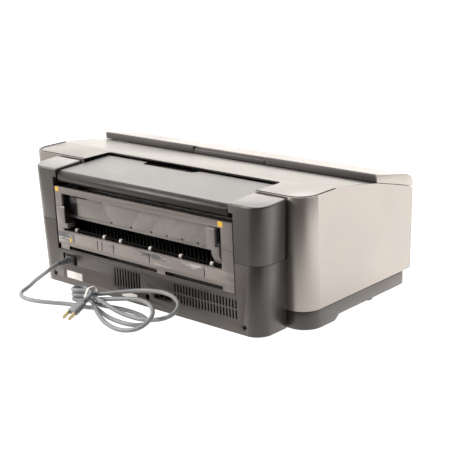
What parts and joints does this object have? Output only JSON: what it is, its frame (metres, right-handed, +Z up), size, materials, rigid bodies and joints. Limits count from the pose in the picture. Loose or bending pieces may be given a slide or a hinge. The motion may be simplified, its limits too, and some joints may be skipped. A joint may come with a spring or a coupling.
{
  "type": "inkjet printer",
  "caption": "Wide desktop inkjet printer with a lidded rear paper feed, open rear transport unit, folding front door, paper cassette, moving ink carriage and a tied mains lead.",
  "frame": {"origin": "on the floor under the middle of the case, without the mains lead", "axes": "+X to the user's right along the width, -Y to the front, +Z up"},
  "size_m": [0.597, 0.4395, 0.1988],
  "materials": {
    "silver_case": "satin",
    "dark_case": "fine grain",
    "grey_lid": "fine grain",
    "unit_grey": "fine grain",
    "black_inner": "matte",
    "pale_inner": "matte",
    "steel": "satin",
    "rubber": "matte",
    "board_green": "satin",
    "ink_tank": "satin",
    "felt": "felt",
    "cord_grey": "satin",
    "tie_white": "matte"
  },
  "bodies": {
    "case": {"base_tray": "dark_case", "rubber_feet": "rubber", "rear_lower_case": "dark_case", "case_screws": "steel", "rear_upper_case": "dark_case", "left_side_panel": "silver_case", "right_side_panel": "silver_case", "front_fascia": "dark_case", "control_panel": "dark_case", "rear_feed_tray": "black_inner", "side_frame_left": "steel", "side_frame_right": "steel", "rail_frame": "steel", "carriage_rail": "steel", "carriage_belt": "rubber", "carriage_motor": "steel", "feed_motor": "steel", "feed_belt": "rubber", "pinch_holder": "black_inner", "platen": "black_inner", "purge_unit": "pale_inner", "waste_pad": "felt", "power_supply": "steel", "mains_inlet": "black_inner", "main_board": "board_green", "port_sockets": "steel", "mains_connector": "cord_grey", "power_cord": "cord_grey", "cord_hank": "cord_grey", "cord_tie": "tie_white", "mains_plug": "cord_grey"},
    "lid": {"rear_lid": "grey_lid"},
    "cover": {"top_cover": "silver_case"},
    "door": {"door_shell": "silver_case", "door_band": "dark_case", "door_handle": "dark_case"},
    "transport_unit": {"transport_frame": "unit_grey", "transport_plate": "unit_grey", "transport_bar": "pale_inner", "transport_guide": "black_inner"},
    "unit_rollers": {"transport_rollers": "pale_inner"},
    "left_latch": {"latch_left": "pale_inner"},
    "right_latch": {"latch_right": "pale_inner"},
    "left_guide": {"edge_guide_left": "black_inner"},
    "right_guide": {"edge_guide_right": "black_inner"},
    "head_carriage": {"carriage": "black_inner", "print_head": "steel", "ink_tanks": "ink_tank"},
    "belt_drive": {"drive_pulley": "pale_inner"},
    "belt_idler": {"idler_pulley": "pale_inner"},
    "feed_shaft": {"feed_roller": "steel"},
    "exit_shaft": {"exit_roller": "rubber"},
    "motor_cog": {"feed_motor_pulley": "pale_inner"},
    "pinch_shaft": {"pinch_rollers": "pale_inner"},
    "paper_cassette": {"cassette": "dark_case"},
    "power_button": {"power_key": "pale_inner"},
    "resume_button": {"resume_key": "pale_inner"}
  },
  "joints": [
    {"name": "lid_hinge", "type": "hinge", "parent": "case", "child": "lid", "pos_m": [-0.021, 0.151, 0.181], "axis": [-1, 0, 0], "range_deg": [0, 105]},
    {"name": "cover_hinge", "type": "hinge", "parent": "case", "child": "cover", "pos_m": [0, 0.0957, 0.1973], "axis": [-1, 0, 0], "range_deg": [0, 58]},
    {"name": "door_hinge", "type": "hinge", "parent": "case", "child": "door", "pos_m": [0, -0.1545, 0.07], "axis": [1, 0, 0], "range_deg": [0, 88]},
    {"name": "cassette_slide", "type": "slide", "parent": "case", "child": "paper_cassette", "axis": [0, -1, 0], "range_m": [0, 0.17]},
    {"name": "unit_slide", "type": "slide", "parent": "case", "child": "transport_unit", "axis": [0, 1, 0], "range_m": [0, 0.09]},
    {"name": "unit_roller_spin", "type": "hinge", "parent": "transport_unit", "child": "unit_rollers", "pos_m": [-0.021, 0.1515, 0.0938], "axis": [1, 0, 0], "continuous": true},
    {"name": "left_latch_hinge", "type": "hinge", "parent": "transport_unit", "child": "left_latch", "pos_m": [-0.187, 0.1525, 0.102], "axis": [-1, 0, 0], "range_deg": [0, 18]},
    {"name": "right_latch_hinge", "type": "hinge", "parent": "transport_unit", "child": "right_latch", "pos_m": [0.152, 0.1525, 0.102], "axis": [-1, 0, 0], "range_deg": [0, 18]},
    {"name": "left_guide_slide", "type": "slide", "parent": "case", "child": "left_guide", "axis": [1, 0, 0], "range_m": [0, 0.09]},
    {"name": "right_guide_slide", "type": "slide", "parent": "case", "child": "right_guide", "axis": [-1, 0, 0], "range_m": [0, 0.09]},
    {"name": "carriage_slide", "type": "slide", "parent": "case", "child": "head_carriage", "axis": [1, 0, 0], "range_m": [-0.168, 0.168]},
    {"name": "belt_drive_spin", "type": "hinge", "parent": "case", "child": "belt_drive", "pos_m": [0.224, 0.0185, 0.173], "axis": [0, 1, 0], "range_deg": [-1760, 1760]},
    {"name": "belt_idler_spin", "type": "hinge", "parent": "case", "child": "belt_idler", "pos_m": [-0.224, 0.0185, 0.173], "axis": [0, 1, 0], "range_deg": [-1760, 1760]},
    {"name": "feed_roller_spin", "type": "hinge", "parent": "case", "child": "feed_shaft", "pos_m": [0, -0.0095, 0.096], "axis": [1, 0, 0], "continuous": true},
    {"name": "exit_roller_spin", "type": "hinge", "parent": "case", "child": "exit_shaft", "pos_m": [0, -0.0845, 0.093], "axis": [1, 0, 0], "continuous": true},
    {"name": "motor_cog_spin", "type": "hinge", "parent": "case", "child": "motor_cog", "pos_m": [0.245, -0.047, 0.052], "axis": [1, 0, 0], "continuous": true},
    {"name": "pinch_roller_spin", "type": "hinge", "parent": "case", "child": "pinch_shaft", "pos_m": [0, -0.0095, 0.1073], "axis": [1, 0, 0], "continuous": true},
    {"name": "power_key_press", "type": "slide", "parent": "case", "child": "power_button", "axis": [0, 1, 0], "range_m": [0, 0.0015], "stiffness_N_per_m": 300},
    {"name": "resume_key_press", "type": "slide", "parent": "case", "child": "resume_button", "axis": [0, 1, 0], "range_m": [0, 0.0015], "stiffness_N_per_m": 300}
  ],
  "couplings": [
    {"joint": "right_guide_slide", "follows": "left_guide_slide", "ratio": 1},
    {"joint": "belt_drive_spin", "follows": "carriage_slide", "rad_per_m": -160},
    {"joint": "belt_idler_spin", "follows": "carriage_slide", "rad_per_m": -160},
    {"joint": "exit_roller_spin", "follows": "feed_roller_spin", "ratio": 1},
    {"joint": "motor_cog_spin", "follows": "feed_roller_spin", "ratio": 2.185},
    {"joint": "pinch_roller_spin", "follows": "feed_roller_spin", "ratio": -1.75}
  ]
}
